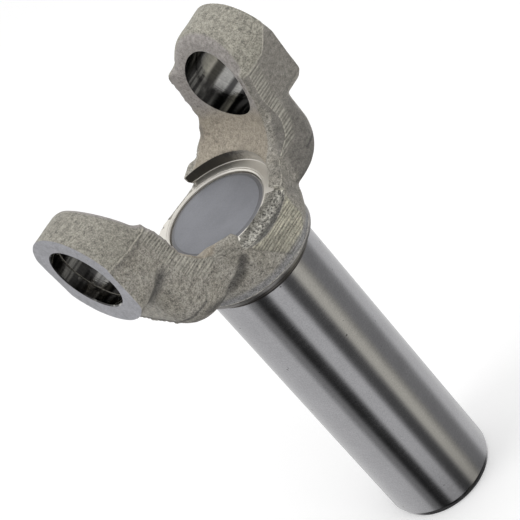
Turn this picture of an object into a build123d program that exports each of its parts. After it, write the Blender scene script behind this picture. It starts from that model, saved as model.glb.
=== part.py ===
from build123d import *
import os
from math import acos, cos, degrees, radians, sin, sqrt, tan

# Forged slip yoke of a drive shaft, in millimetres, standing on the open end of its barrel.
# +Z runs up the barrel towards the ears, X is the axis of the two cross bores and the
# origin is the centre of the barrel's end face. A depth is measured down from the cross bores.

# Cross bores
bore_height = 182.3
cap_bore_d = 27.0
bore_chamfer = 0.4
ring_seat_span = 92.08
ring_land = 4.86
ring_groove_width = 1.55
ring_groove_depth = 0.8

# Ears and the gap between them
boss_r = 20.2
boss_root_r = 21.0
boss_flat_half = 19.0
boss_waist_half = 17.8
ear_gap = 66.6
ear_flare = 9.4
face_r = 44.0
gap_depth = 24.8
gap_corner_r = 14.5
gap_half_angle = 75.0
tip_edge_r = 5.5

# Arms, seen from the side and along the bores
arm_half_width = 18.8
waist_half_width = 17.4
waist_depth = 12.0
waist_r = 7.0
root_half_width = 22.4
root_r = 4.0
shoulder_r = 15.4
shoulder_x = 43.8
shoulder_depth = 25.2
shoulder_edge_r = 7.5

# Hub and collar
hub_side_half = 25.4
lip_depth = 28.6
lip_r = 1.2
seat_depth = 28.2
seat_r = 23.8
collar_d = 50.4
collar_depth = 49.4
collar_band = 2.6
collar_edge = 0.6
neck_d = 42.3
neck_length = 3.4
neck_r = 2.6
flare_r = 27.6
flare_depth = 40.5
hub_rise = 2.0

# Rough pockets beside the seat
pocket_r = 3.5
pocket_y = 23.3
far_pocket_r = 5.4
far_pocket_y = 25.2
pocket_bend_r = 20.0
pocket_depth = 29.0
pocket_angle = 34.0

# Barrel
barrel_d = 42.93
barrel_lead_length = 2.7
barrel_lead_depth = 0.85

# Bores inside the barrel
mouth_bore_d = 35.6
mouth_bore_depth = 22.0
mouth_chamfer = 1.0
spline_teeth = 31
spline_minor_d = 31.8
spline_major_d = 34.1
spline_length = 96.0
space_minor_half = 1.03
space_major_half = 0.56
space_run_in = 0.6

# End plug, pressed into its own counterbore
plug_bore_d = 38.1
plug_bore_chamfer = 0.35
plug_fit = 0.02
plug_thickness = 3.2
plug_recess = 0.7
plug_edge_r = 1.0

# Heights and half sizes worked out from the driving dimensions
seat_z = bore_height - seat_depth
collar_z = bore_height - collar_depth
collar_top_z = collar_z + collar_band
neck_z = collar_z - neck_length
floor_z = bore_height - gap_depth
hub_top_z = floor_z + hub_rise
lip_z = bore_height - lip_depth
flare_z = bore_height - flare_depth
shoulder_z = bore_height - shoulder_depth
pad_x = ring_seat_span / 2 + ring_land
pad_span = 2 * pad_x
barrel_r = barrel_d / 2
relief_r = neck_d / 2
barrel_top_z = neck_z - (barrel_r - relief_r)
collar_r = collar_d / 2
cap_bore_r = cap_bore_d / 2
ring_x = ring_seat_span / 2
ring_groove_r = cap_bore_r + ring_groove_depth
plug_bore_z = seat_z - plug_recess - plug_thickness
plug_r = plug_bore_d / 2 - plug_fit
spline_top_z = mouth_bore_depth + spline_length
bore_step = (mouth_bore_d - spline_minor_d) / 2
top_z = bore_height + 2 * boss_r
face_axis_x = ear_gap / 2 - face_r
flare_slope = tan(radians(ear_flare))
ridge_z = bore_height + sqrt(boss_r**2 - boss_flat_half**2)
root_angle = degrees(acos(boss_waist_half / boss_root_r))

os.makedirs("parts", exist_ok=True)

# Arms: one bent bar seen from the side, its outer edges rounded by the dies
with BuildPart() as arms:
    with BuildSketch(Plane.XZ):
        with BuildLine():
            m1 = Line((0, bore_height), (shoulder_x, bore_height))
            m2 = Line(m1 @ 1, (shoulder_x, shoulder_z))
            m3 = CenterArc((shoulder_x - shoulder_r, shoulder_z), shoulder_r, 0, -90)
            Line(m3 @ 1, (0, shoulder_z - shoulder_r))
            mirror(about=Plane.YZ)
        make_face()
    extrude(amount=arm_half_width, both=True)
    bends = arms.edges().filter_by(
        lambda e: abs(abs(e.center().Y) - arm_half_width) < 0.01
        and abs(e.center().X) > 1
        and e.center().Z < bore_height - 1
    )
    fillet(bends, shoulder_edge_r)

# Head: arms and hub together, trimmed to the outline seen along the bores, then the bosses
with BuildPart() as head:
    add(arms.part)
    with BuildSketch(Plane.XZ):
        with BuildLine():
            Polyline(
                (0, collar_top_z),
                (collar_r, collar_top_z),
                (flare_r, flare_z),
                (flare_r, hub_top_z),
                (0, hub_top_z),
                (0, collar_top_z),
            )
        make_face()
    revolve(axis=Axis.Z)
    with BuildSketch(Plane.YZ):
        with BuildLine():
            FilletPolyline(
                (0, bore_height),
                (waist_half_width, bore_height),
                (waist_half_width, bore_height - waist_depth),
                (root_half_width, floor_z),
                (hub_side_half, lip_z),
                (hub_side_half, collar_z),
                (0, collar_z),
                radius=(0, waist_r, root_r, lip_r, 0),
            )
            mirror(about=Plane.YZ)
        make_face()
    extrude(amount=pad_x, both=True, mode=Mode.INTERSECT)
    with BuildSketch(Plane.YZ.offset(-pad_x)):
        with BuildLine():
            root = CenterArc((0, bore_height), boss_root_r, -90, 90 - root_angle)
            Polyline(root @ 1, (boss_flat_half, ridge_z), (0, ridge_z))
            mirror(about=Plane.YZ)
        make_face()
    extrude(amount=pad_span)

# Gap between the ears: its walls are concave about upright axes and flare towards the tips
with BuildPart() as gap:
    with BuildSketch(Plane.XZ):
        with BuildLine():
            FilletPolyline(
                (face_axis_x, floor_z),
                (ear_gap / 2 - gap_depth * flare_slope, floor_z),
                (ear_gap / 2 + (top_z - bore_height) * flare_slope, top_z),
                (face_axis_x, top_z),
                radius=(gap_corner_r, 0),
            )
            Line((face_axis_x, top_z), (face_axis_x, floor_z))
        make_face()
    revolve(axis=Axis((face_axis_x, 0, 0), (0, 0, 1)), revolution_arc=gap_half_angle)
    mirror(about=Plane.XZ)
    mirror(about=Plane.YZ)

# Round tips of the ears, their inner edges rounded off by the dies
with BuildPart() as tips:
    with BuildSketch(Plane.YZ.offset(-pad_x)):
        with BuildLine():
            rise = CenterArc((0, bore_height), boss_r, 0, 180)
            Line(rise @ 0, rise @ 1)
        make_face()
    extrude(amount=pad_span)
    add(gap.part, mode=Mode.SUBTRACT)
    rims = tips.edges().filter_by(
        lambda e: e.center().Z > bore_height + 5 and abs(e.center().X) < pad_x - 1
    )
    fillet(rims, tip_edge_r)
    with BuildSketch(Plane.XY.offset(ridge_z)):
        Rectangle(pad_span, 2 * boss_flat_half)
    extrude(amount=boss_r, mode=Mode.INTERSECT)

# Pockets beside the seat: round cutters swung about an axis above them
swing = radians(pocket_angle)
swing_start = Plane(
    origin=(0, 0, bore_height - pocket_depth + pocket_bend_r),
    x_dir=(0, 1, 0),
    z_dir=(cos(swing), 0, sin(swing)),
)
pivot = Axis(swing_start.origin, (0, 1, 0))
with BuildPart() as pockets:
    with BuildSketch(swing_start):
        with Locations((pocket_y, -pocket_bend_r)):
            Circle(pocket_r)
        with Locations((-far_pocket_y, -pocket_bend_r)):
            Circle(far_pocket_r)
    revolve(axis=pivot, revolution_arc=2 * pocket_angle)

# Forging: head, collar and barrel in one piece, with every machined cut
with BuildPart() as yoke:
    add(head.part)
    add(gap.part, mode=Mode.SUBTRACT)
    add(tips.part)
    with BuildSketch(Plane.XZ):
        with BuildLine():
            Polyline(
                (0, 0),
                (barrel_r - barrel_lead_depth, 0),
                (barrel_r, barrel_lead_length),
                (barrel_r, barrel_top_z),
                (relief_r, neck_z),
                (relief_r, collar_z - neck_r),
            )
            RadiusArc((relief_r, collar_z - neck_r), (relief_r + neck_r, collar_z), neck_r)
            Polyline(
                (relief_r + neck_r, collar_z),
                (collar_r - collar_edge, collar_z),
                (collar_r, collar_z + collar_edge),
                (collar_r, collar_top_z),
                (0, collar_top_z),
                (0, 0),
            )
        make_face()
    revolve(axis=Axis.Z)
    # Seat, turned flat in the bottom of the gap
    with BuildSketch(Plane.XY.offset(seat_z)):
        Circle(seat_r)
    extrude(amount=gap_depth, mode=Mode.SUBTRACT)
    add(pockets.part, mode=Mode.SUBTRACT)
    # Cross bores with their retaining-ring grooves
    with BuildSketch(Plane.XZ):
        with BuildLine():
            Polyline(
                (0, bore_height + cap_bore_r),
                (ring_x, bore_height + cap_bore_r),
                (ring_x, bore_height + ring_groove_r),
                (ring_x + ring_groove_width, bore_height + ring_groove_r),
                (ring_x + ring_groove_width, bore_height + cap_bore_r),
                (pad_x - bore_chamfer, bore_height + cap_bore_r),
                (pad_x, bore_height + cap_bore_r + bore_chamfer),
                (pad_x, bore_height),
                (0, bore_height),
            )
            mirror(about=Plane.YZ)
        make_face()
    revolve(axis=Axis((0, 0, bore_height), (1, 0, 0)), mode=Mode.SUBTRACT)
    # Counterbore for the plug, head bore, spline bore and mouth bore, turned from one profile
    with BuildSketch(Plane.XZ):
        with BuildLine():
            Polyline(
                (0, 0),
                (mouth_bore_d / 2 + mouth_chamfer, 0),
                (mouth_bore_d / 2, mouth_chamfer),
                (mouth_bore_d / 2, mouth_bore_depth),
                (spline_minor_d / 2, mouth_bore_depth + bore_step),
                (spline_minor_d / 2, spline_top_z),
                (mouth_bore_d / 2, spline_top_z + bore_step),
                (mouth_bore_d / 2, plug_bore_z),
                (plug_bore_d / 2, plug_bore_z),
                (plug_bore_d / 2, seat_z - plug_bore_chamfer),
                (plug_bore_d / 2 + plug_bore_chamfer, seat_z),
                (0, seat_z),
                (0, 0),
            )
        make_face()
    revolve(axis=Axis.Z, mode=Mode.SUBTRACT)
    # Internal spline
    with BuildSketch(Plane.XY.offset(mouth_bore_depth)):
        with PolarLocations(0, spline_teeth):
            Polygon(
                (spline_minor_d / 2 - space_run_in, -space_minor_half),
                (spline_major_d / 2, -space_major_half),
                (spline_major_d / 2, space_major_half),
                (spline_minor_d / 2 - space_run_in, space_minor_half),
                align=None,
            )
    extrude(amount=spline_length + bore_step, mode=Mode.SUBTRACT)

# Sealing plug, resting on the ledge of its counterbore
with BuildPart() as plug:
    with BuildSketch(Plane.XY.offset(plug_bore_z)):
        Circle(plug_r)
    extrude(amount=plug_thickness)
    fillet(plug.faces().sort_by(Axis.Z)[-1].edges(), plug_edge_r)

yoke.part.label = "yoke"
plug.part.label = "plug"
export_step(yoke.part, "parts/yoke.step")
export_step(plug.part, "parts/plug.step")
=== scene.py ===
# %% [markdown]
# # A forged slip yoke
# The object is the sliding end of a drive shaft: two bored ears, a short hub with a collar,
# a pressed-in plug and a long ground barrel. Its forged skin is blasted and soft at the edges,
# and every machined face is crisp. So the forging is modelled in the order it is made: first a
# rough blank with rounded edges, and then the machining is cut into that blank.

import math

import bmesh
import bpy
from mathutils import Matrix, Vector, noise


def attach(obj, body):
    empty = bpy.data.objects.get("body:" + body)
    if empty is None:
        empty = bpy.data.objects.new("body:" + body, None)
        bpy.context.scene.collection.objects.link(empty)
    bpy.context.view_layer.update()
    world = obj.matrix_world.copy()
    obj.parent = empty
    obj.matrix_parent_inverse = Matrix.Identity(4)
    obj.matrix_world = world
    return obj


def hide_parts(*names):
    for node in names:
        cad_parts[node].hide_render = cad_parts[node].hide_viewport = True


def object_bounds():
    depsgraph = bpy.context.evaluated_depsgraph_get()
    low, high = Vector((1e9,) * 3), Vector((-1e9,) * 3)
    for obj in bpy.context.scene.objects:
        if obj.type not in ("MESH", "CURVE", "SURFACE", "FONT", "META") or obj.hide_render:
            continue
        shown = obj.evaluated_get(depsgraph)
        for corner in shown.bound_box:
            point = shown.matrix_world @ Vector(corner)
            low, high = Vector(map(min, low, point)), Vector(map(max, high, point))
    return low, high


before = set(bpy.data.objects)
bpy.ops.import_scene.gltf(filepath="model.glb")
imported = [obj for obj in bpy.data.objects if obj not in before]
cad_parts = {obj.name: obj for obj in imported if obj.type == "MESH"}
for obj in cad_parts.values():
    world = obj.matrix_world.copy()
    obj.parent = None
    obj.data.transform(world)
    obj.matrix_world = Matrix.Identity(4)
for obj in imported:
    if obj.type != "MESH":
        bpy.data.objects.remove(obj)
cad_low, cad_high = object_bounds()
MM = 0.001


def in_mm(corner):
    """A corner's coordinates in mm, for printing."""
    return [round(v / MM, 2) for v in corner]


print("CAD box in mm:", in_mm(cad_low), in_mm(cad_high))

# %% [markdown]
# ## The camera
# The view was found from the picture's own ellipses and edges: the two cross bores share one
# axis, and the barrel gives the upright. The lens is long, so the two ears look nearly parallel.
# The matrix is built from the directions that point right, up and back in the picture.

# %% Camera
camera_data = bpy.data.cameras.new("camera")
camera_data.lens = 146.83
camera_data.sensor_width = 36.0
camera = bpy.data.objects.new("camera", camera_data)
right = Vector((-0.5019, 0.6755, -0.5402))
up = Vector((-0.7814, -0.0863, 0.6181))
back = Vector((0.3709, 0.7323, 0.5711))
turn = Matrix((right, up, back)).transposed().to_4x4()
camera.matrix_world = Matrix.Translation((0.27024, 0.53564, 0.54483)) @ turn
bpy.context.scene.collection.objects.link(camera)
bpy.context.scene.camera = camera
away = camera.matrix_world.translation.length / MM
print("camera stands", round(away), "mm from the barrel's end")

# %% [markdown]
# ## Sizes
# The machining repeats the sizes of the part's source, in millimetres, because the cuts have to
# meet the same planes and bores. Heights on the ears are easier to read from the bores' axis, so
# h is a height above that axis, and z is a height above the barrel's end.
#
# The hollow inner face of both ears is one cone about an upright axis, FACE_AXIS beyond the
# middle, with a rounded corner at its foot. The pockets that the dies left beside the seat
# follow a round centre line, which bends about a level axis below the bores' axis.

# %% Sizes
BORE_Z = 182.3
PAD_X = 50.9
CAP_R = 13.5
RING_X = 46.04
RING_WIDTH = 1.55
RING_DEPTH = 0.8
BORE_CHAMFER = 0.4
SEAT_Z = BORE_Z - 28.2
FLOOR_H = -24.8
FLOOR_Z = BORE_Z + FLOOR_H
SEAT_TOP_Z = 162
SEAT_R = 23.8
PLUG_R = 19.05
PLUG_Z = SEAT_Z - 3.9
SKIN_END_Z = 134.6
COLLAR_R = 25.2
COLLAR_Z = BORE_Z - 49.4
BARREL_R = 21.465
MOUTH_R = 17.8
SPLINE_R = 15.9
SPLINE_SPACES = 31
HUB_R = 27.6
HUB_SIDE = 25.4
TIP_R = 20.2
ARM_HALF = 17.8
ARM_KNEE = -11.1
FACE_AXIS = 10.7
FACE_R = 44.0
FACE_TILT = math.radians(9.4)
FLARE = math.tan(FACE_TILT)
FACE_COS = 0.9866
CORNER_R = 14.5
CORNER_H = FLOOR_H + CORNER_R
CORNER_REACH = FACE_R + FLARE * CORNER_H - CORNER_R / math.cos(FACE_TILT)
POCKET_DROP = 9.0
POCKET_BEND = 20.0
POCKET_R = 3.6
POCKET_OUT = 23.1
RELIEF_R = 5.4
RELIEF_OUT = -25.2
RELIEF_SKEW = 0.11
RELIEF_PIVOT = 5
print("inner corner:", round(CORNER_REACH, 2), "mm out and", round(CORNER_H, 2), "mm high")

# %% [markdown]
# ## Small helpers for meshes
# A bmesh is made, shaped by operators and then written to a new object. A profile that is
# spun about an axis gives every turned shape, so one helper serves the cutters, the barrel
# and the plug. A drum is the plainest profile: a disc of one radius between two heights.

# %% Mesh helpers
def new_piece(name, bm):
    """Writes a bmesh to a new object at the origin."""
    mesh = bpy.data.meshes.new(name)
    bm.to_mesh(mesh)
    bm.free()
    piece = bpy.data.objects.new(name, mesh)
    bpy.context.scene.collection.objects.link(piece)
    return piece


def turned(profile, axis="Z", centre=(0, 0, 0), steps=128):
    """Spins an open (radius, height) profile in mm about an upright or a level axis."""
    bm = bmesh.new()
    points = [bm.verts.new((r * MM, 0, h * MM)) for r, h in profile]
    edges = [bm.edges.new(pair) for pair in zip(points, points[1:])]
    bmesh.ops.spin(
        bm,
        geom=points + edges,
        cent=(0, 0, 0),
        axis=(0, 0, 1),
        angle=math.tau,
        steps=steps,
        use_merge=True,
    )
    bmesh.ops.remove_doubles(bm, verts=bm.verts, dist=1e-7)
    if axis == "X":
        quarter = Matrix.Rotation(math.pi / 2, 3, "Y")
        bmesh.ops.rotate(bm, verts=bm.verts, cent=(0, 0, 0), matrix=quarter)
    bmesh.ops.translate(bm, verts=bm.verts, vec=[c * MM for c in centre])
    bmesh.ops.recalc_face_normals(bm, faces=bm.faces)
    return bm


def drum(radius, low, high):
    """The profile of a plain drum between two heights."""
    return [(0, low), (radius, low), (radius, high), (0, high)]


def block(low, high):
    """A box between two corners in mm."""
    bm = bmesh.new()
    bmesh.ops.create_cube(bm, size=1.0)
    bmesh.ops.scale(bm, verts=bm.verts, vec=[(b - a) * MM for a, b in zip(low, high)])
    bmesh.ops.translate(bm, verts=bm.verts, vec=[(a + b) / 2 * MM for a, b in zip(low, high)])
    return bm


def settle(piece):
    """Applies the piece's modifiers to its mesh."""
    ready = piece.evaluated_get(bpy.context.evaluated_depsgraph_get())
    mesh = bpy.data.meshes.new_from_object(ready)
    piece.modifiers.clear()
    piece.data = mesh
    return piece


def cut(piece, tool_bm, how="DIFFERENCE"):
    """Cuts one closed mesh with another, and removes the tool."""
    tool = new_piece("tool", tool_bm)
    boolean = piece.modifiers.new("cut", "BOOLEAN")
    boolean.operation = how
    boolean.solver = "MANIFOLD"
    boolean.object = tool
    settle(piece)
    bpy.data.objects.remove(tool)
    return piece

# %% [markdown]
# ## The forged blank
# A forging leaves the dies with soft edges, and only then is it bored and turned. The blank
# starts from the solid model's mesh: its pads are left too long and the barrel is taken off.
# The machined hollows are filled again, because the metal was still there when the dies closed.

# %% Blank
STOCK = 4 * MM
cad_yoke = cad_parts["yoke"]
blank = bmesh.new()
blank.from_mesh(cad_yoke.data)
bmesh.ops.remove_doubles(blank, verts=blank.verts, dist=1e-6)
for v in blank.verts:
    if abs(v.co.x) > (PAD_X - 0.6) * MM:
        v.co.x += math.copysign(STOCK, v.co.x)
low_cut = bmesh.ops.bisect_plane(
    blank,
    geom=blank.verts[:] + blank.edges[:] + blank.faces[:],
    plane_co=(0, 0, (SKIN_END_Z - 0.8) * MM),
    plane_no=(0, 0, 1),
    clear_inner=True,
)
rim = [e for e in low_cut["geom_cut"] if isinstance(e, bmesh.types.BMEdge)]
bmesh.ops.triangle_fill(blank, edges=rim, use_beauty=True)
for v in blank.verts:
    if v.co.z < (SKIN_END_Z - 0.79) * MM:
        v.co.z -= STOCK
print("blank has", len(blank.faces), "faces")

# %% [markdown]
# Each filling is a turned block that follows the surface it hides behind. In the ears that is
# the hollow inner face. In the saddle the filling stops short of the two open sides, where the
# seat runs out into the air. The seat's ring and the plug's bore are filled a little below.

# %% Fill the machined hollows
def ear_fill(side):
    """Fills one cross bore out to the ear's hollow inner face."""
    bar_r, bar_half, bar_x = 15, 20, 39
    low, high = 100, 240
    bar = turned(drum(bar_r, -bar_half, bar_half), "X", (side * bar_x, 0, BORE_Z), 48)
    cone = [
        (0, low),
        (FACE_R + FLARE * (low - BORE_Z), low),
        (FACE_R + FLARE * (high - BORE_Z), high),
        (0, high),
    ]
    return cut(new_piece("fill", bar), turned(cone, "Z", (-side * FACE_AXIS, 0, 0), 240))


seat_fill = new_piece("fill", turned(drum(SEAT_R + 0.5, SEAT_Z - 0.6, FLOOR_Z)))
cut(seat_fill, block((-40, -21.7, 100), (40, 21.7, 200)), "INTERSECT")
ring_fill = new_piece("fill", turned(drum(SEAT_R + 0.3, SEAT_Z - 0.7, SEAT_Z - 0.2)))
plug_fill = new_piece("fill", turned(drum(PLUG_R + 0.3, 129.8, SEAT_Z - 0.2)))
fills = [ear_fill(1), ear_fill(-1), seat_fill, ring_fill, plug_fill]
for fill in fills:
    blank.from_mesh(fill.data)
    bpy.data.objects.remove(fill)
forging = new_piece("forging", blank)
print("blank with", len(fills), "fillings has", len(forging.data.polygons), "faces")

# %% [markdown]
# A voxel remesh joins the blank and its fillings into one even skin. Then smoothing rounds the
# edges as worn dies do. The creases at the foot of the bosses and beside the hub are much
# softer on the real piece, so a vertex group gives them a longer smoothing of their own.

# %% One soft skin
remesh = forging.modifiers.new("even skin", "REMESH")
remesh.mode = "VOXEL"
remesh.voxel_size = 0.52 * MM
remesh.use_smooth_shade = True
settle(forging)
edges_soft = forging.modifiers.new("soft edges", "SMOOTH")
edges_soft.factor = 0.5
edges_soft.iterations = 16
settle(forging)
print("skin has", len(forging.data.polygons), "faces")

# %% Soft creases
def near(value, centre, reach):
    """1 at the centre, falling smoothly to 0 at the reach."""
    t = min(abs(value - centre) / reach, 1.0)
    return (1 - t * t) ** 2


creases = forging.vertex_groups.new(name="creases")
for v in forging.data.vertices:
    x, y, h = v.co.x / MM, v.co.y / MM, v.co.z / MM - BORE_Z
    beside_hub = near(math.hypot(x, y), 27.5, 4.5) * near(abs(y), 19.5, 4.5) * (h < -26)
    under_boss = near(h, -13.5 - 0.08 * (19 - abs(y)), 4.0) * (x > 36)
    weight = max(beside_hub, under_boss)
    if weight > 0.05:
        creases.add([v.index], weight, "REPLACE")
soften = forging.modifiers.new("soft creases", "SMOOTH")
soften.factor = 0.8
soften.iterations = 30
soften.vertex_group = "creases"
settle(forging)
forging.vertex_groups.clear()
print("creases are soft, and the skin still has", len(forging.data.polygons), "faces")

# %% [markdown]
# ## Marks of the dies and the trimming tool
# Four things tell a real forging from a smooth solid. The skin is slightly uneven. The rounded
# tips stand a little proud of the flanks, where the two dies met. One ear has a bevel along its
# inner edge. And the trimmed flash leaves a ragged line under the arms. All four are moves of
# the skin's own vertices, so they show in the shape and not only in the shading.
#
# Each mark is found from its place. These helpers say how deep a point lies behind the hollow
# inner face, how wide an arm is, where the proud tip ends, and how far a point is from a line.
# The tip ends at a ridge, which is level near the middle and rises from RIDGE_X outwards, more
# on the left, -X ear than on the right one.

# %% Where a point lies on the forging
def behind_gap(x, y, h):
    """How far a point lies inside the metal, behind the hollow between the ears, in mm."""
    reach = math.hypot(abs(x) + FACE_AXIS, y)
    if h < CORNER_H - FLARE * (reach - CORNER_REACH) and reach > CORNER_REACH:
        return math.hypot(reach - CORNER_REACH, h - CORNER_H) - CORNER_R
    return max((reach - FACE_R - FLARE * h) * FACE_COS, FLOOR_H - h)


def grow(value, low, high):
    """Smooth step from 0 to 1."""
    t = min(max((value - low) / (high - low), 0.0), 1.0)
    return t * t * (3 - 2 * t)


def flank(x, h):
    """Half width of an arm, which runs into the round hub at its foot."""
    if h > ARM_KNEE:
        arm = ARM_HALF + (h - ARM_KNEE) * 0.0668
    else:
        arm = ARM_HALF + grow(-13 - h, 0, 2.2)
    return max(arm, math.sqrt(max(HUB_R ** 2 - x * x, 0)))


RIDGE_X = 42.0
RISE_LEFT, RISE_RIGHT = 0.62, 0.2


def ridge(x):
    """Height of the line where the proud tip ends, rising towards the outer face."""
    return 5.7 + (RISE_LEFT if x < 0 else RISE_RIGHT) * max(abs(x) - RIDGE_X, 0)


def along_flat(x, h):
    """Place along the flat on the hub's side, counted from its slanting end."""
    top, slant = -29.4, 1.48
    return x - (h - top) / slant


def beside(point, line):
    """Distance in mm from a point to a line of straight runs."""
    best = 99.0
    for a, b in zip(line, line[1:]):
        a, b = Vector(a), Vector(b)
        along = min(max((point - a).dot(b - a) / (b - a).length_squared, 0), 1)
        best = min(best, (point - a - along * (b - a)).length)
    return best

# %% [markdown]
# The first marks push the skin in or out along its own direction: the unevenness, the step at
# the end of the proud tip, the creases under the bosses and beside the hub, the flat on the
# hub's side, and the flash. Both creases are the same on every quarter of the forging, so
# their lines are given once and compared with a point's distances from the middle planes.

# %% Marks along the skin's direction
VALLEY = [
    (14.6, 22.6, -31.2),
    (16.2, 21.4, -33.6),
    (17.7, 20.4, -35.6),
    (19.4, 19.2, -37.0),
    (23, 16.6, -38.6),
]
UNDER_BOSS = [
    (38.4, 17.3, -11.0),
    (40.9, 16.6, -12.3),
    (43.2, 15.2, -13.7),
    (45.4, 13.4, -15.2),
    (45.6, 9.9, -18.0),
]


def lift_at(x, y, h, out, depth):
    """How far the skin stands out at a point, along its own direction, in mm."""
    point = Vector((x, y, h))
    quarter = Vector((abs(x), abs(y), h))
    calm = 1 - 0.85 * grow(1.4 - depth, 0, 1)
    small = noise.noise(point / 2.2 + Vector((9, 2, 4)))
    lift = calm * (0.16 * noise.noise(point / 7.0) + 0.07 * small)
    if y > 14 and abs(x) > 24 and abs(out.y) > 0.2 and h > -15:
        below = grow(ridge(x) + 0.35 * noise.noise(point / 1.6) - h, -0.25, 0.35)
        step = 0.42 if x < 0 else 0.77 * grow(depth, 0.5, 5) * grow(h, -6, 3)
        lift -= step * below * grow(h, -14, -2)
    if x > 34 and h < -8:
        lift -= 0.35 * near(beside(quarter, UNDER_BOSS), 0, 4.0)
    if -42 < h < -28 and 12 < abs(x) < 27:
        lift -= (1.7 if x > 0 else 0.8) * near(beside(quarter, VALLEY), 0, 2.8)
    if y > 24.3 and h < -28 and along_flat(x, h) > 12:
        lift -= 0.4
    if h < -24 and abs(x) > 22:
        ragged = noise.noise(Vector((y / 1.3, x / 9.0, 8.0)))
        flash = near(h + 32.2 + 0.4 * noise.noise(Vector((y / 2.5, 3.0, 1.0))), 0, 1.3)
        high = 0.35 + 0.8 * max(ragged, -0.3)
        lift += flash * high * grow(15 - y, 0, 4) * grow(abs(x), 33, 38)
    return lift

# %% [markdown]
# The other marks move the skin in a direction of their own. The far flank of the -X ear shows
# against the background, so it is moved out by FAR_EDGE, a table of heights and distances that
# was measured along that outline. The bevel and the chamfer shave an inner edge off at a slant.
# One corner of the saddle stands up over the plug, and its far end doesn't reach past a limit.

# %% Marks in a direction of their own
FAR_EDGE = [
    (-25.0, 0.0),
    (-23.6, 1.2),
    (-22.5, 2.3),
    (-21.2, 2.0),
    (-19.5, 0.9),
    (-18.0, -0.1),
    (-15.0, -0.45),
    (-12.0, -0.2),
    (-7.0, 0.1),
    (-4.5, 0.4),
    (-1.5, 0.6),
    (1.0, 1.15),
    (4.5, 1.25),
    (6.3, 0.75),
    (7.6, 0.0),
]
SADDLE_END = [(-28.6, 21.6), (-26.5, 22.4), (-24.5, 23.6), (-22.0, 25.0)]


def table(value, rows):
    """Reads a value from a short table of pairs."""
    for (a, low), (b, high) in zip(rows, rows[1:]):
        if value < b:
            return low + (high - low) * min(max((value - a) / (b - a), 0), 1)
    return rows[-1][1]


def far_edge_move(x, y, h, out, depth):
    """The far flank of the -X ear, moved out along the cone of the inner face."""
    if not (x < 0 and y < -12 and h > -25.5):
        return Vector()
    push = table(h, FAR_EDGE) * near(depth, 0, 9) * grow(-out.y, 0.1, 0.6)
    return Vector((abs(push * y) / (abs(x) + FACE_AXIS), -push, 0))


def bevel_move(x, y, h, depth):
    """The bevel along the -X ear's inner edge, and the chamfer on the +X ear's tip."""
    if not (y > 9 and -25.5 < h < 15):
        return Vector()
    half = flank(x, h)
    if x < 0:
        along = 2.9 + 2.4 * grow(-4 - h, 0, 13) - 2.4 * grow(-21 - h, 0, 3.6)
        across = 1.9 + 1.6 * grow(-4 - h, 0, 13) + 1.5 * grow(x, -22, -14)
        share = grow(7.5 - h, 0, 2.5)
    else:
        along, across = 3.4, 2.2
        share = grow(h, 0.5, 5) * grow(9.5 - h, 0, 3)
        half = min(half, math.sqrt(TIP_R ** 2 - max(h, 0) ** 2))
    over = 1 - depth / along - (half - y) / across
    if over <= 0:
        return Vector()
    slope = Vector((math.copysign(1 / along, x), -1 / across, 0))
    return slope / slope.length_squared * over * share


def corner_rise(x, y, h, out):
    """How far the saddle's corner stands up over the plug."""
    if not (x > 0 and y > 0 and h > -27 and out.z > 0.1):
        return 0.0
    bearing = math.degrees(math.atan2(y, x))
    sector = grow(bearing, 25, 42) * grow(64.5 - bearing, 0, 3)
    corner = sector * near(math.hypot(x, y), 24.5, 5.5)
    return 2.1 * corner * grow(out.z, 0.1, 0.5)


def end_pull(x, y, h):
    """How far the saddle's far end is pulled in to its limit."""
    if not (y < -18 and -28.6 < h < -20 and 8 < abs(x) < 22):
        return 0.0
    limit = table(h, SADDLE_END) if x < 0 else 20.0 + grow(h, -24, -21) * 4
    return max(-y - limit, 0)

# %% [markdown]
# Every vertex is then moved once. A light smoothing follows, a longer one on the far flank,
# whose moves are the largest, and the skin is kept just inside the solid model's box.

# %% Sculpt
def relax(bm, verts, factor, times=1):
    """Draws vertices towards their neighbours."""
    for _ in range(times):
        bmesh.ops.smooth_vert(
            bm, verts=verts, factor=factor, use_axis_x=True, use_axis_y=True, use_axis_z=True
        )


MARGIN = 0.02 * MM
skin = bmesh.new()
skin.from_mesh(forging.data)
skin.normal_update()
moved = 0.0
for v in skin.verts:
    x, y, h = v.co.x / MM, v.co.y / MM, v.co.z / MM - BORE_Z
    out = v.normal.copy()
    depth = behind_gap(x, y, h)
    offset = out * lift_at(x, y, h, out, depth)
    offset += far_edge_move(x, y, h, out, depth)
    offset += bevel_move(x, y, h, depth)
    offset.z += corner_rise(x, y, h, out)
    offset.y += end_pull(x, y, h)
    v.co += offset * MM
    moved = max(moved, offset.length)
relax(skin, skin.verts, 0.25)
far_side = [
    v
    for v in skin.verts
    if v.co.x < 0 and v.co.y < -14 * MM and -26 < v.co.z / MM - BORE_Z < 9
]
relax(skin, far_side, 0.5, 6)
for v in skin.verts:
    v.co.y = min(max(v.co.y, cad_low[1] + MARGIN), cad_high[1] - MARGIN)
    v.co.z = min(v.co.z, cad_high[2] - MARGIN)
skin.to_mesh(forging.data)
skin.free()
print("largest move is", round(moved, 2), "mm")

# %% [markdown]
# ## Machining
# The same cuts as in the shop, in the same order: both pads, the collar end and the flat on the
# hub's side are faced, the cross bores are bored with their ring grooves and chamfers, and the
# seat and the plug's bore are turned in one setting. The two pockets beside the seat come from
# the dies, so their cutter is a round bar with a rough skin, swung about the pockets' axis. The
# one on the far side is wider and runs slightly askew, and a box ends the saddle upright there.

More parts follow.
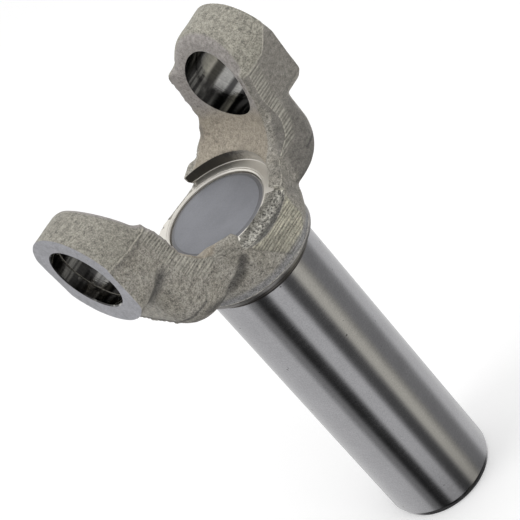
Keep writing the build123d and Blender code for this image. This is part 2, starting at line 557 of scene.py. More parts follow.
# %% Facing
cut(forging, block((PAD_X, -60, 100), (80, 60, 240)))
cut(forging, block((-80, -60, 100), (-PAD_X, 60, 240)))
cut(forging, block((-60, -60, 100), (60, 60, SKIN_END_Z)))
cut(forging, block((-14, HUB_SIDE - 0.12, 110), (14, 60, 150)))
print("faced forging has", len(forging.data.polygons), "faces")

# %% Pockets
def pocket_tool(radius, offset, swing, skew=0.0):
    """A round cutter swung about a level axis above the seat, with a rough skin."""
    tube = bmesh.new()
    made = bmesh.ops.create_circle(tube, cap_ends=True, segments=40, radius=radius * MM)
    hung = Matrix.Translation((0, offset * MM, -POCKET_BEND * MM))
    start = hung @ Matrix.Rotation(math.pi / 2, 4, "Y")
    bmesh.ops.transform(tube, matrix=start, verts=made["verts"])
    first = Matrix.Rotation(math.radians(swing), 4, "Y")
    bmesh.ops.transform(tube, matrix=first, verts=tube.verts)
    bmesh.ops.spin(
        tube,
        geom=tube.verts[:] + tube.edges[:] + tube.faces[:],
        cent=(0, 0, 0),
        axis=(0, 1, 0),
        angle=-math.radians(2 * swing),
        steps=56,
    )
    for v in tube.verts:
        place = v.co / MM
        v.co.z += 0.14 * noise.noise(place / 1.1) * MM
        rough = 0.12 * noise.noise(place / 1.3 + Vector((7, 1, 3)))
        v.co.y += (rough - skew * (place.x + RELIEF_PIVOT)) * MM
    bmesh.ops.translate(tube, verts=tube.verts, vec=(0, 0, (BORE_Z - POCKET_DROP) * MM))
    bmesh.ops.recalc_face_normals(tube, faces=tube.faces)
    return tube


cut(forging, pocket_tool(POCKET_R, POCKET_OUT, 33.0))
cut(forging, pocket_tool(RELIEF_R, RELIEF_OUT, 31.0, RELIEF_SKEW))
cut(forging, block((-10.8, -40, SEAT_Z + 0.01), (-2, -20.4, 190)))
print("forging with its pockets has", len(forging.data.polygons), "faces")

# %% Boring and turning
bore_half = [
    (0, 0),
    (CAP_R, 0),
    (CAP_R, RING_X),
    (CAP_R + RING_DEPTH, RING_X),
    (CAP_R + RING_DEPTH, RING_X + RING_WIDTH),
    (CAP_R, RING_X + RING_WIDTH),
    (CAP_R, PAD_X - BORE_CHAMFER),
    (CAP_R + 2 * BORE_CHAMFER, PAD_X + BORE_CHAMFER),
    (CAP_R + 2 * BORE_CHAMFER, 60),
    (0, 60),
]
for end in (1, -1):
    cut(forging, turned([(r, end * h) for r, h in bore_half], "X", (0, 0, BORE_Z), 160))
seat_tool = [
    (0, 120),
    (MOUTH_R, 120),
    (MOUTH_R, PLUG_Z),
    (PLUG_R, PLUG_Z),
    (PLUG_R, SEAT_Z - 0.55),
    (PLUG_R + 0.5, SEAT_Z - 0.14),
    (PLUG_R + 0.95, SEAT_Z - 0.14),
    (PLUG_R + 1.1, SEAT_Z),
    (SEAT_R - 0.3, SEAT_Z),
    (SEAT_R, SEAT_Z + 0.3),
    (SEAT_R, 170),
    (0, 170),
]
cut(forging, turned(seat_tool, steps=160))
print("machined forging has", len(forging.data.polygons), "faces")

# %% [markdown]
# ## Barrel and plug
# The barrel is turned and ground from the same forging. It is kept as its own mesh, because a
# spun profile gives it a perfectly even surface, and its reflections would show anything less.
# The spline is broached: one space is shaped, and spin copies it round.

# %% Barrel
barrel_profile = [
    (MOUTH_R, SKIN_END_Z),
    (24.9, SKIN_END_Z),
    (COLLAR_R, SKIN_END_Z - 0.3),
    (COLLAR_R, COLLAR_Z + 0.6),
    (COLLAR_R - 0.6, COLLAR_Z),
    (23.75, COLLAR_Z),
    (22.75, COLLAR_Z - 0.2),
    (21.9, COLLAR_Z - 0.8),
    (21.3, COLLAR_Z - 1.7),
    (21.15, COLLAR_Z - 2.6),
    (21.15, COLLAR_Z - 3.4),
    (BARREL_R, COLLAR_Z - 3.7),
    (BARREL_R, 2.9),
    (BARREL_R - 0.05, 2.6),
    (20.66, 0.15),
    (20.5, 0),
    (18.8, 0),
    (MOUTH_R, 1.0),
    (MOUTH_R, 22),
    (SPLINE_R, 23.9),
    (SPLINE_R, 119.5),
    (MOUTH_R, 121.4),
    (MOUTH_R, SKIN_END_Z),
]
barrel = new_piece("barrel", turned(barrel_profile, steps=192))
print("turned barrel has", len(barrel.data.polygons), "faces")

# %% Spline
space_section = [(15.5, -1.03), (17.05, -0.56), (17.05, 0.56), (15.5, 1.03)]
space_low, space_length = 20 * MM, 98 * MM
space = bmesh.new()
foot = [space.verts.new((r * MM, w * MM, space_low)) for r, w in space_section]
face = space.faces.new(foot)
pulled = bmesh.ops.extrude_face_region(space, geom=[face])
top = [v for v in pulled["geom"] if isinstance(v, bmesh.types.BMVert)]
bmesh.ops.translate(space, verts=top, vec=(0, 0, space_length))
bmesh.ops.recalc_face_normals(space, faces=space.faces)
bmesh.ops.spin(
    space,
    geom=space.verts[:] + space.edges[:] + space.faces[:],
    cent=(0, 0, 0),
    axis=(0, 0, 1),
    angle=math.tau * (SPLINE_SPACES - 1) / SPLINE_SPACES,
    steps=SPLINE_SPACES - 1,
    use_duplicate=True,
)
cut(barrel, space)
print("barrel with its spline has", len(barrel.data.polygons), "faces")

# %% [markdown]
# The plug is a stamped disc with a rolled rim and a flat, slightly raised middle. It is pressed
# into the bore below the seat, so it is a turned profile too, a hair smaller than that bore.

# %% Plug
plug_profile = [
    (0, PLUG_Z),
    (18.6, PLUG_Z),
    (PLUG_R - 0.02, PLUG_Z + 0.4),
    (PLUG_R - 0.02, PLUG_Z + 1.9),
    (18.93, PLUG_Z + 2.35),
    (18.7, PLUG_Z + 2.7),
    (18.4, PLUG_Z + 2.92),
    (18.1, PLUG_Z + 3.0),
    (17.25, PLUG_Z + 3.08),
    (17.15, PLUG_Z + 3.2),
    (0, PLUG_Z + 3.2),
]
plug = new_piece("end_plug", turned(plug_profile, steps=160))
print("plug has", len(plug.data.polygons), "faces")

# %% [markdown]
# Nothing on the yoke moves, so all three pieces ride on its one body. The forging and the
# barrel together stand for the solid yoke, and the plug for the solid plug.

# %% Ride
for piece, node in ((forging, "yoke"), (barrel, "yoke"), (plug, "plug")):
    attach(piece, "root")
    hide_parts(node)
    print(piece.name, "stands for", node)

# %% [markdown]
# ## Shader maths
# Masks and grain are easier to read as arithmetic. A Wire holds one socket, and adding or
# multiplying wires adds Math nodes. Every other node comes from its one method, node.

# %% Wire
class Wire:
    """A socket in a node tree; arithmetic on it adds Math nodes."""

    def __init__(self, tree, socket=None):
        self.tree = tree
        self.socket = socket

    def node(self, kind, inputs, out=0, **settings):
        """Adds a node: first its settings, then values or links for its sockets."""
        made = self.tree.nodes.new("ShaderNode" + kind)
        for name, value in settings.items():
            setattr(made, name, value)
        for key, value in inputs.items():
            if isinstance(value, Wire):
                self.tree.links.new(value.socket, made.inputs[key])
            else:
                made.inputs[key].default_value = value
        return Wire(self.tree, made.outputs[out])

    def maths(self, operation, *values):
        """Adds a Math node on wires or numbers."""
        return self.node("Math", dict(enumerate(values)), operation=operation)

    def __add__(self, other):
        return self.maths("ADD", self, other)

    def __sub__(self, other):
        return self.maths("SUBTRACT", self, other)

    def __rsub__(self, other):
        return self.maths("SUBTRACT", other, self)

    def __mul__(self, other):
        return self.maths("MULTIPLY", self, other)

    def __truediv__(self, other):
        return self.maths("DIVIDE", self, other)

    __radd__ = __add__
    __rmul__ = __mul__

    def abs(self):
        return self.maths("ABSOLUTE", self)

    def sine(self):
        return self.maths("SINE", self)

    def at_least(self, other):
        return self.maths("MAXIMUM", self, other)

    def hypot(self, other):
        return self.maths("SQRT", self * self + other * other)

    def step(self, low, high):
        """Smooth step from 0 at low to 1 at high."""
        ends = {"Value": self, "From Min": low, "From Max": high, "To Min": 0.0, "To Max": 1.0}
        return self.node("MapRange", ends, interpolation_type="SMOOTHSTEP")

    def noise(self, scale, detail=2.0, roughness=0.55):
        """Noise on this vector, between 0 and 1."""
        inputs = {"Vector": self, "Scale": scale, "Detail": detail, "Roughness": roughness}
        return self.node("TexNoise", inputs)

    def stretch(self, factors):
        """This vector, with a factor of its own for each axis."""
        return self.node("VectorMath", {0: self, 1: factors}, operation="MULTIPLY")

    def scaled(self, factor):
        """This vector or colour, all of it times one number."""
        return self.node("VectorMath", {0: self, "Scale": factor}, operation="SCALE")

    def mix(self, one, other):
        """A colour between two colours; this wire is the share of the second."""
        return self.node("Mix", {0: self, 6: one, 7: other}, 2, data_type="RGBA")


def begin(name):
    """A new material with its shader and its position in mm."""
    material = bpy.data.materials.new(name)
    material.use_nodes = True
    tree = material.node_tree
    shader = tree.nodes["Principled BSDF"]
    place = Wire(tree).node("TexCoord", {}, "Object")
    return material, shader, place.scaled(1000.0)


def feed(shader, **wires):
    """Links wires to the shader's sockets, with _ for a space in their names."""
    for name, wire in wires.items():
        wire.tree.links.new(wire.socket, shader.inputs[name.replace("_", " ")])


def parts(vector):
    """The x, y and z of a vector."""
    return [vector.node("SeparateXYZ", {0: vector}, out) for out in range(3)]


def tint(r, g, b):
    """A colour as the sockets take it."""
    return (r, g, b, 1.0)

# %% [markdown]
# ## Forged skin
# Shot blasting leaves a warm grey skin with a fine grain. Where the tool sheared the flash off,
# beside the inner edges and on the sides of the hub, the skin is dragged into fine lines along
# the bores' axis. The hollow inner faces are smoother and a little pink. Every region is found
# from its place on the part, so the pattern needs no picture.

# %% Forged skin
skin_mat, skin_shader, mm = begin("forged_skin")
x, y, z = parts(mm)
h = z - BORE_Z
wide = y.abs()
far = x.abs()
left = x.step(0.5, -0.5)
reach = (far + FACE_AXIS).hypot(y)
wall = (reach - FACE_R - h * FLARE) * FACE_COS
corner = (reach - CORNER_REACH).hypot(h - CORNER_H) - CORNER_R
low = h.step(-11.5, -13.5)
depth = wall * (1 - low) + corner * low
print("depth behind the inner face takes", len(skin_mat.node_tree.nodes), "nodes")

# %% [markdown]
# Each region is a mask, 1 inside and 0 outside, made of smooth steps on the point's place. The
# name left is the mask of the -X ear. First come the large regions: the inner faces, the
# trimmed band beside the inner edge, the flat on the hub, the proud tip and the flanks.

# %% Large regions
ring = y.hypot(h.at_least(0.0))
soft_end = 2.7 - h.step(2, -4) * 1.4
inner = depth.step(soft_end, soft_end - 1.0) * ring.step(19.8, 18.8) * far.step(12, 15)
inner_side = 16.4 - h.step(-4, -17) * 2.2
inner = inner * (1 - left * y.step(inner_side - 0.7, inner_side + 0.7))
bevel_end = 2.9 + h.step(-4, -17) * 2.4 - h.step(-21, -24.6) * 2.4
band_start = left * (bevel_end - 1.2) + 1.2
band_end = left * 2.6 + 5.2 + h.step(-8, -20) * 1.0
band = depth.step(band_start - 0.3, band_start + 0.3) * depth.step(band_end + 1.2, band_end - 0.8)
band = band * wide.step(15.5, 16.8) * h.step(6.5, 4.5) * h.step(-27, -23)
flat = wide.step(25.0, 25.2) * along_flat(x, h).step(12.6, 11.6)
trimmed = band.at_least(flat)
rise = left * (RISE_LEFT - RISE_RIGHT) + RISE_RIGHT
above = h - far.at_least(RIDGE_X) * rise + rise * RIDGE_X
tip = above.step(5.4, 6.0) * far.step(27, 30)
flanks = wide.step(16.5, 17.5) * (1 - tip) * far.step(22, 26)

# %% [markdown]
# Then come the small ones: the rough pocket beside the seat with a painted highlight on its
# lip, a painted highlight along the bevel's edge, a painted highlight on the ridge and painted
# shade under it, painted shade on the root of the -X arm, the turned end of the hub, and a
# painted highlight where the skin ends.

# %% Small regions
pocket_path = (x.hypot(h + POCKET_DROP) - POCKET_BEND).hypot(wide - POCKET_OUT)
pocket = pocket_path.step(POCKET_R + 0.4, POCKET_R + 0.2) * y.step(-1, 1)
pocket = pocket * h.step(-25.0, -26.0) * far.step(13.2, 12.0)
# Painted highlight on the pocket's lip.
lip_highlight = pocket_path.step(POCKET_R + 0.8, POCKET_R + 0.6) * (1 - pocket)
lip_highlight = lip_highlight * y.step(25.0, 25.2) * h.step(-26.0, -27.0)
past_bevel = depth.step(bevel_end - 0.1, bevel_end + 0.15)
# Painted highlight along the edge of the -X ear's bevel.
bevel_highlight = left * past_bevel * depth.step(bevel_end + 0.5, bevel_end + 0.2)
bevel_highlight = bevel_highlight * (y - h.step(-12, -15) * 0.9).step(17.2, 17.7) * h.step(6.5, 5.0)
bevel_highlight = bevel_highlight * (h.step(-17, -20) * 0.65 + 0.35)
# Painted highlight on the ridge, and painted shade under it.
on_ridge = above.step(4.7, 5.1) * above.step(5.9, 5.5)
ridge_highlight = on_ridge * y.step(15, 16) * far.step(31, 32)
shade = above.step(4.9, 4.3) * above.step(1.0, 4.0)
under_ridge = shade * y.step(15, 16) * far.step(33, 35) * (1 - left)
# Painted shade on the +Y side of the -X arm's root.
root = left * y.step(17.0, 19.0) * h.step(-12, -18) * far.step(11, 15)
hub_end = h.step(-42.5, -45.5) * far.step(30, 26)
# Painted highlight where the skin ends at the collar.
end_highlight = h.step(-47.1, -47.4) * far.step(30, 26)
print("with its regions the skin has", len(skin_mat.node_tree.nodes), "nodes")

# %% [markdown]
# The grain is noise at four sizes, from pits of half a millimetre to clouds of a centimetre.
# The strokes of the trimming tool are a sine wave over the height, bent by a noise that is
# stretched along the strokes, so that no two of them are alike.

# %% Grain and strokes
STROKE = 1.3
grain = mm.noise(2.1, 3.0, 0.7)
pits = mm.noise(1.15, 2.0, 0.6)
coarse = mm.noise(0.6, 3.0, 0.6)
cloud = mm.noise(0.11, 3.0, 0.55)
wobble = mm.stretch((0.05, 0.25, 1.0)).noise(0.55, 2.0, 0.5)
fine_drag = mm.stretch((0.07, 0.5, 1.0)).noise(2.4, 2.0, 0.6)
phase = (h + wobble * 1.5) * (math.tau / STROKE)
strokes = phase.sine() * (coarse * 1.4 - 0.1) + (fine_drag - 0.5) * 2.4

# %% [markdown]
# The colours are laid over each other from the large regions to the small ones, as a painter
# would. Each line mixes one colour over what is already there, where its mask says so.

# %% Large tones
base = cloud.step(0.3, 0.7).mix(tint(0.325, 0.305, 0.262), tint(0.38, 0.36, 0.32))
base = (flanks * left * 0.85).mix(base, tint(0.265, 0.25, 0.225))
tip_tone = left.mix(tint(0.306, 0.292, 0.25), tint(0.345, 0.33, 0.278))
base = (tip * 0.8).mix(base, tip_tone)
inner_foot = (h + (cloud - 0.5) * 8.0).step(-6, -15)
inner_tone = inner_foot.mix(tint(0.335, 0.31, 0.295), tint(0.37, 0.325, 0.26))
base = (inner * 0.9).mix(base, inner_tone)
# Painted shade: the -X flanks darken towards their foot.
base = (flanks * left * h.step(-10, -16) * 0.5).mix(base, tint(0.19, 0.18, 0.165))
# Painted shade on the -X arm's root.
base = (root * 0.35).mix(base, tint(0.17, 0.16, 0.145))
base = (flat * 0.8).mix(base, tint(0.44, 0.42, 0.335))
base = (band * 0.7).mix(base, tint(0.36, 0.345, 0.30))
base = (hub_end * 0.8).mix(base, tint(0.28, 0.28, 0.29))
base = (under_ridge * 0.45).mix(base, tint(0.16, 0.15, 0.135))

# %% Pocket, painted highlights and painted shade
pocket_depth = y - h
# Painted shade on the pocket's outer wall.
pocket_shade = pocket_depth.step(53.6, 55.6)
pocket_lumps = pocket * pocket_depth.step(49.5, 51.0) * (1 - pocket_shade)
base = pocket.mix(base, tint(0.54, 0.52, 0.455))
base = (pocket_lumps * coarse.step(0.42, 0.58)).mix(base, tint(0.8, 0.78, 0.7))
base = (pocket * pocket_shade * 0.75).mix(base, tint(0.15, 0.15, 0.14))
# The painted highlights share one pale colour.
painted_highlights = bevel_highlight * 0.9 + lip_highlight * 0.8 + ridge_highlight * 0.8 + end_highlight * 0.5
base = painted_highlights.mix(base, tint(0.56, 0.53, 0.46))
# Painted shade in the creases and on the undersides, read from a vertex attribute.
shaded = mm.node("Attribute", {}, 2, attribute_name="painted_shade")
base = (shaded * 0.9).mix(base, tint(0.05, 0.048, 0.05))

# %% [markdown]
# The grain changes the lightness of that colour and also its height, and both read the same
# noises, so a dark grain is a hollow one. It is calmer on the -X flank and the inner faces.

# %% Grain in colour and height
calm = flanks * left * 0.5
grain_share = 2.9 - tip * 0.4 - inner * 1.2 - calm * 2.0 - trimmed * 0.8
pit_share = 1.0 - calm + pocket * 1.2 + pocket_lumps * 2.0
coarse_share = 1.5 - inner * 0.6 - calm * 0.8
value = 1.0 + (grain - 0.5) * grain_share + (pits - 0.5) * pit_share
value = value + (coarse - 0.5) * coarse_share + strokes * trimmed * 0.46
height = grain * 0.5 + pits * 0.6 * (1 - calm)
height = height + coarse * (0.3 + pocket * 1.5) + strokes * trimmed * 0.5
feed(
    skin_shader,
    Base_Color=base.scaled(value.at_least(0.12)),
    Roughness=0.62 - inner * 0.08 + (grain - 0.5) * 0.3,
    Normal=height.node("Bump", {"Height": height, "Distance": 0.00022, "Strength": 0.8}),
)
skin_shader.inputs["Metallic"].default_value = 0.25
print("forged skin has", len(skin_mat.node_tree.nodes), "nodes")

# %% [markdown]
# ## Machined finishes
# The pads are ground flat, the bores are bored to a dark mirror with fine rings, and the seat is
# turned. Each is steel with lines in the direction its tool ran.

# %% Machined finishes
def steel(name, colour, rough, scale, stretch, strength, spread=0.12, specks=0.0):
    """Bright steel with tool lines: the stretch says along which axes they vary."""
    material, shader, mm = begin(name)
    lines = mm.stretch(stretch).noise(scale, 2.0, 0.6)
    cloud = mm.noise(0.12, 3.0, 0.6)
    speck = mm.noise(1.6, 3.0, 0.7)
    shader.inputs["Metallic"].default_value = 1.0
    pale = tint(*colour)
    dull = tint(*[c * (1 - spread) for c in colour])
    base = (cloud * 0.6 + lines * 0.4).step(0.35, 0.65).mix(dull, pale)
    marks = (lines - 0.5) * 0.12 + (cloud - 0.5) * 0.1 + (speck - 0.5) * specks * 0.15
    feed(
        shader,
        Base_Color=base.scaled(1.0 + (speck - 0.5) * specks),
        Roughness=marks + rough,
        Normal=lines.node("Bump", {"Height": lines, "Distance": 0.00002, "Strength": strength}),
    )
    print(name, "has", len(material.node_tree.nodes), "nodes")
    return material, mm


pad_mat, pad_mm = steel(
    "pad_ground", (0.445, 0.445, 0.475), 0.34, 2.0, (1.0, 1.0, 0.2), 0.5, 0.2, 1.3
)
bore_mat, bore_mm = steel(
    "bore_bored", (0.40, 0.395, 0.38), 0.1, 2.4, (1.0, 0.05, 0.05), 0.9, 0.3, 0.6
)
seat_mat, seat_mm = steel(
    "seat_turned", (0.78, 0.745, 0.685), 0.38, 2.0, (1.0, 1.0, 1.0), 0.4, 0.2, 0.8
)
neck_mat, neck_mm = steel(
    "neck_turned", (0.33, 0.32, 0.31), 0.32, 2.0, (0.1, 0.1, 1.0), 0.8, 0.2, 0.8
)
barrel_mat, barrel_mm = steel(
    "barrel_ground", (0.47, 0.467, 0.482), 0.15, 2.6, (0.06, 0.06, 1.0), 0.22, 0.08, 0.5
)
spline_mat = steel(
    "spline_broached", (0.40, 0.39, 0.38), 0.3, 1.5, (1.0, 1.0, 0.05), 0.8
)[0]

# %% [markdown]
# No machined face is one even colour. Dark reflections are painted in streaks along the bores,
# and the pads are mottled. The seat's ring is paler than its wall, and the wall is painted darker
# as a dark reflection, most of all on its -Y side. A painted shadow and dark reflection lie in
# the neck below the collar, and the ground barrel has a few tiny pits. Each is one more colour
# mixed over the finish.

# %% Streaks, mottles and pits
def lay_over(material, share, colour):
    """Mixes another colour over a finish, where the share is 1."""
    shader = material.node_tree.nodes["Principled BSDF"]
    before = Wire(material.node_tree, shader.inputs["Base Color"].links[0].from_socket)
    feed(shader, Base_Color=share.mix(before, tint(*colour)))


# Painted dark reflections in streaks along the bores.
bore_reflection = bore_mm.stretch((0.03, 1.0, 1.0)).noise(0.2, 2.0, 0.6).step(0.56, 0.44)
lay_over(bore_mat, bore_reflection * 0.9, (0.035, 0.034, 0.035))

mottle = pad_mm.stretch((0.0, 1.0, 1.0)).noise(0.45, 3.0, 0.65)
lay_over(pad_mat, mottle.step(0.5, 0.3) * 0.5, (0.22, 0.22, 0.235))

seat_x, seat_y = parts(seat_mm)[:2]
seat_wall = seat_x.hypot(seat_y).step(SEAT_R - 0.25, SEAT_R - 0.05)
lay_over(seat_mat, (1 - seat_wall) * 0.8, (0.84, 0.81, 0.745))
# Painted dark reflection on the seat's wall, deepest on its -Y side.
blotch = (seat_mm.noise(0.9, 2.0, 0.6) - 0.5) * 12.0
wall_reflection = (seat_y + blotch).step(4, -9) * 0.54 + 0.38
lay_over(seat_mat, seat_wall * wall_reflection, (0.06, 0.056, 0.05))

neck_z = parts(neck_mm)[2]
# Painted shadow and dark reflection in the neck just below the collar.
lay_over(neck_mat, neck_z.step(COLLAR_Z + 0.3, COLLAR_Z - 0.1) * 0.6, (0.05, 0.042, 0.035))

dots = barrel_mm.noise(0.55, 1.0, 0.5)
lay_over(barrel_mat, dots.step(0.775, 0.81) * 0.7, (0.05, 0.05, 0.05))

# %% [markdown]
# The plug is plain sheet with a cool, speckled face. Its step is painted darker as shade, and a
# painted highlight runs round its rim.

# %% Plug sheet
plug_mat, plug_shader, mm = begin("plug_sheet")
speck = mm.noise(2.2, 2.0, 0.6)
cloud = mm.noise(0.1, 2.0, 0.5)
mottle = (cloud * 0.5 + speck * 0.5).step(0.3, 0.7)
plug_base = mottle.mix(tint(0.225, 0.23, 0.25), tint(0.28, 0.285, 0.31))
plug_x, plug_y = parts(mm)[:2]
from_axis = plug_x.hypot(plug_y)
# Painted shade on the plug's step, and a painted highlight round its rim.
plug_base = (from_axis.step(17.0, 17.25) * 0.8).mix(plug_base, tint(0.19, 0.19, 0.20))
plug_base = (from_axis.step(18.25, 18.4) * 0.8).mix(plug_base, tint(0.48, 0.47, 0.46))
plug_shader.inputs["Metallic"].default_value = 0.6
feed(
    plug_shader,
    Base_Color=plug_base,
    Roughness=speck * 0.15 + 0.42,
    Normal=speck.node("Bump", {"Height": speck, "Distance": 0.00005, "Strength": 0.4}),
)
print("plug sheet has", len(plug_mat.node_tree.nodes), "nodes")

# %% [markdown]
# ## Which face gets which finish
# A machined face is known by where it lies: on a pad's plane, on a bore's radius, or on the
# seat. The remaining faces keep the forged skin. Edges sharper than 30 degrees stay crisp.

# %% Choose finishes
TOUCH = 0.02
ROUGH_SKIN = 0.35
SHARP = math.radians(30)
FORGED, GROUND, BORED, TURNED = range(4)
ON_BARREL, ON_NECK, ON_SPLINE = range(3)


def from_bend(x, across, h):
    """Distance from a pocket's round centre line, across being the way out of its plane."""
    return math.hypot(math.hypot(x, h + POCKET_DROP) - POCKET_BEND, across)


def finish_of_forging(x, y, z):
    """The finish of a face of the forging, found from its centre."""
    h = z - BORE_Z
    if abs(x) > PAD_X - TOUCH:
        return GROUND
    bore_r = CAP_R + (TOUCH if abs(x) < RING_X else RING_DEPTH + 0.01)
    if math.hypot(y, h) < bore_r and abs(x) > 24:
        return BORED
    skewed = y - RELIEF_OUT + RELIEF_SKEW * (x + RELIEF_PIVOT)
    in_pocket = from_bend(x, y - POCKET_OUT, h) < POCKET_R + ROUGH_SKIN
    in_relief = from_bend(x, skewed, h) < RELIEF_R + ROUGH_SKIN
    r = math.hypot(x, y)
    on_wall = abs(r - SEAT_R) < 0.03 and SEAT_Z + 0.2 < z < SEAT_TOP_Z
    in_seat = r < SEAT_R + TOUCH and z < SEAT_TOP_Z
    if in_seat and not in_pocket and (on_wall or not in_relief):
        return TURNED
    return FORGED


def finish_of_barrel(x, y, z):
    """The finish of a face of the barrel, found from its centre."""
    if math.hypot(x, y) < MOUTH_R + 0.01:
        return ON_SPLINE
    return ON_NECK if z > COLLAR_Z - 3.75 else ON_BARREL

# %% Assign finishes
def dress(piece, materials, choose):
    """Gives each face its material, and keeps sharp edges sharp."""
    bm = bmesh.new()
    bm.from_mesh(piece.data)
    bmesh.ops.recalc_face_normals(bm, faces=bm.faces)
    for f in bm.faces:
        f.smooth = True
        c = f.calc_center_median() / MM
        f.material_index = choose(c.x, c.y, c.z)
    for e in bm.edges:
        e.smooth = e.calc_face_angle(0) < SHARP
    piece.data.materials.clear()
    for material in materials:
        piece.data.materials.append(material)
    bm.to_mesh(piece.data)
    count = sum(len(f.verts) - 2 for f in bm.faces)
    open_edges = sum(not e.is_manifold for e in bm.edges)
    bm.free()
    print(piece.name, "has", count, "triangles and", open_edges, "open edges")


dress(forging, [skin_mat, pad_mat, bore_mat, seat_mat], finish_of_forging)
dress(barrel, [barrel_mat, neck_mat, spline_mat], finish_of_barrel)
dress(plug, [plug_mat], lambda x, y, z: 0)

# %% [markdown]
# Shade is painted into the creases: beside the hub, under the bosses, below the trimmed
# flash, round the pocket's rim and on faces that look down. A number on each vertex says how
# much, because these lines follow the surface, and the skin's material reads that number as an
# attribute. Three more lines of painted shade are on the near side only: along the +X arm's
# foot, at the end of the flat and at the end of the lip.

# %% Painted shade
ARM_EDGE = [
    (15.0, 21.8, -32.4),
    (18.6, 18.6, -36.3),
    (20.7, 16.8, -38.2),
    (23.6, 15.6, -39.2),
    (29.5, 17.7, -37.0),
    (34.3, 17.8, -35.2),
]
FLAT_END = [(12.0, 25.3, -29.4), (8.9, 25.3, -33.9), (4.3, 25.3, -40.6), (1.4, 25.3, -45.1)]
LIP_END = [(13.5, 20.0, -22.2), (11.4, 21.0, -23.0), (10.5, 21.6, -26.6)]


def painted_shade_at(point, out):
    """How much shade is painted at a point of the forging, from 0 to 1."""
    x, y, h = point
    quarter = Vector((abs(x), abs(y), h))
    dark = 0.0
    if -44 < h < -27 and 10 < abs(x) < 30:
        dark = (0.9 if x > 0 else 0.3) * near(beside(quarter, VALLEY), 0, 2.5)
    if -44 < h < -30 and 12 < x < 38 and y > 0:
        dark = max(dark, 0.75 * near(beside(point, ARM_EDGE), 0, 3.0))
    if x > 34 and h < -8:
        dark = max(dark, 0.85 * near(beside(quarter, UNDER_BOSS), 0, 3.8))
    if y > 24.5 and h < -28:
        dark = max(dark, 0.5 * near(beside(point, FLAT_END), 0, 0.8))
    if x > 8 and y > 17 and h > -29:
        dark = max(dark, 0.8 * near(beside(point, LIP_END), 0, 0.9))
    # Painted shade on faces that look downwards.
    if h < -28 and abs(x) > 20:
        dark = max(dark, 0.45 * grow(-out.z, 0.15, 0.75))
    if y > 0 and h < -25 and abs(x) < 12:
        dark = max(dark, 0.6 * near(from_bend(x, y - POCKET_OUT, h), POCKET_R + 0.1, 0.6))
    # Painted shade along the trimmed flash.
    if h < -30 and abs(x) > 33:
        line = h + 31.3 + 0.5 * noise.noise(Vector((y / 1.6, 2.0, 6.0)))
        dark = max(dark, 0.8 * near(line, 0, 0.9))
    return dark


shade_attribute = forging.data.attributes.new("painted_shade", "FLOAT", "POINT")
bore_centre = Vector((0, 0, BORE_Z))
values = [painted_shade_at(v.co / MM - bore_centre, v.normal) for v in forging.data.vertices]
shade_attribute.data.foreach_set("value", values)
print("stained points:", sum(value > 0.1 for value in values), "of", len(values))

# %% [markdown]
# ## Studio
# The picture was taken in a pale studio. The barrel is a mirror that always looks down and
# outwards, so its long dark stripes are dark cards standing round the table. They are parts of
# the world that depend only on the compass direction, and they end a little above the horizon.
# A card has a bearing, the angles at which it is full and gone, and a share of the light that
# it takes away. What the camera sees directly is white.

# %% World
CARDS = [(23, 4, 20, 0.93), (6, 2, 20, 0.6), (83, 0, 21, 0.85), (146, 4, 34, 0.62)]
world = bpy.data.worlds.new("studio")
bpy.context.scene.world = world
world.use_nodes = True
sky = Wire(world.node_tree)
direction = sky.node("TexCoord", {}, "Generated")
dx, dy, dz = parts(direction)
level = dx.hypot(dy)


def card(bearing, inside, outside, share):
    """How much light a dark card leaves at a compass bearing, in degrees."""
    angle = math.radians(bearing)
    facing = (dx * math.cos(angle) + dy * math.sin(angle)) / level
    edges = [math.cos(math.radians(limit)) for limit in (outside, inside)]
    return 1 - facing.step(*edges) * share


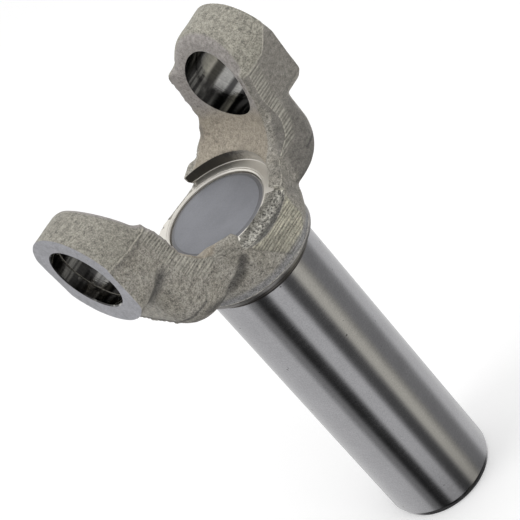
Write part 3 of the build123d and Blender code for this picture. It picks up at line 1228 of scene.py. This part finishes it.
cards = card(*CARDS[0])
for row in CARDS[1:]:
    cards = cards * card(*row)
lowered = dz.step(0.45, 0.15)
behind_camera = (1 - card(38, 40, 62, 0.8)) * dz.step(0.1, 0.3) * dz.step(0.95, 0.75)
stand = (dx * -0.436 + dy * 0.894 + dz * 0.105).step(0.95, 0.99) * 0.85
seen = sky.node("LightPath", {}, "Is Camera Ray")
mirrored = sky.node("LightPath", {}, "Is Glossy Ray")
sunk = dz.step(-0.45, 0.0)
light = 0.56 + sunk * 0.22 + mirrored * (sunk * 0.06 + 0.16)
light = light * (1 - (1 - cards) * lowered) * (1 - behind_camera) * (1 - stand)
light = light * (1 - mirrored * dz.step(-0.74, -0.86) * 0.9)
warm = (1 - card(112, 3, 24, 1.0)) * lowered * mirrored
feed(
    world.node_tree.nodes["Background"],
    Color=warm.mix(tint(1, 1, 1), tint(1.0, 0.97, 0.86)),
    Strength=seen + (1 - seen) * light,
)
bpy.context.scene.view_settings.view_transform = "Standard"
print("world has", len(world.node_tree.nodes), "nodes")

# %% [markdown]
# Three large discs give the soft light of the studio. They are hidden from mirror reflections,
# and so is the floor, because only the cards should show in the barrel. The floor is white
# where the camera sees it, and it keeps the part's shadow.

# %% Lamps and floor
def soft_lamp(name, place, size, watts):
    """A large disc of light, turned towards the barrel's end."""
    data = bpy.data.lights.new(name, "AREA")
    data.shape = "DISK"
    data.size = size
    data.energy = watts
    lamp = bpy.data.objects.new(name, data)
    aim = Vector(place).to_track_quat("Z", "Y").to_matrix().to_4x4()
    lamp.matrix_world = Matrix.Translation(place) @ aim
    lamp.visible_glossy = False
    bpy.context.scene.collection.objects.link(lamp)


soft_lamp("key", (0.95, -0.35, 1.1), 0.9, 4.5)
soft_lamp("front", (0.15, 1.25, 0.8), 1.0, 4.0)
soft_lamp("top", (-0.4, 0.1, 1.5), 1.2, 3.5)

floor_bm = bmesh.new()
bmesh.ops.create_grid(floor_bm, x_segments=1, y_segments=1, size=3)
floor = new_piece("floor", floor_bm)
floor_mat, floor_shader, mm = begin("pale_floor")
floor_shader.inputs["Base Color"].default_value = tint(0.85, 0.85, 0.85)
floor_shader.inputs["Roughness"].default_value = 0.9
floor_shader.inputs["Specular IOR Level"].default_value = 0.0
floor_shader.inputs["Emission Color"].default_value = tint(1, 1, 1)
feed(floor_shader, Emission_Strength=mm.node("LightPath", {}, "Is Camera Ray") * 0.24)
floor.data.materials.append(floor_mat)
floor.visible_glossy = False
print("lamps:", [lamp.name for lamp in bpy.data.lights])
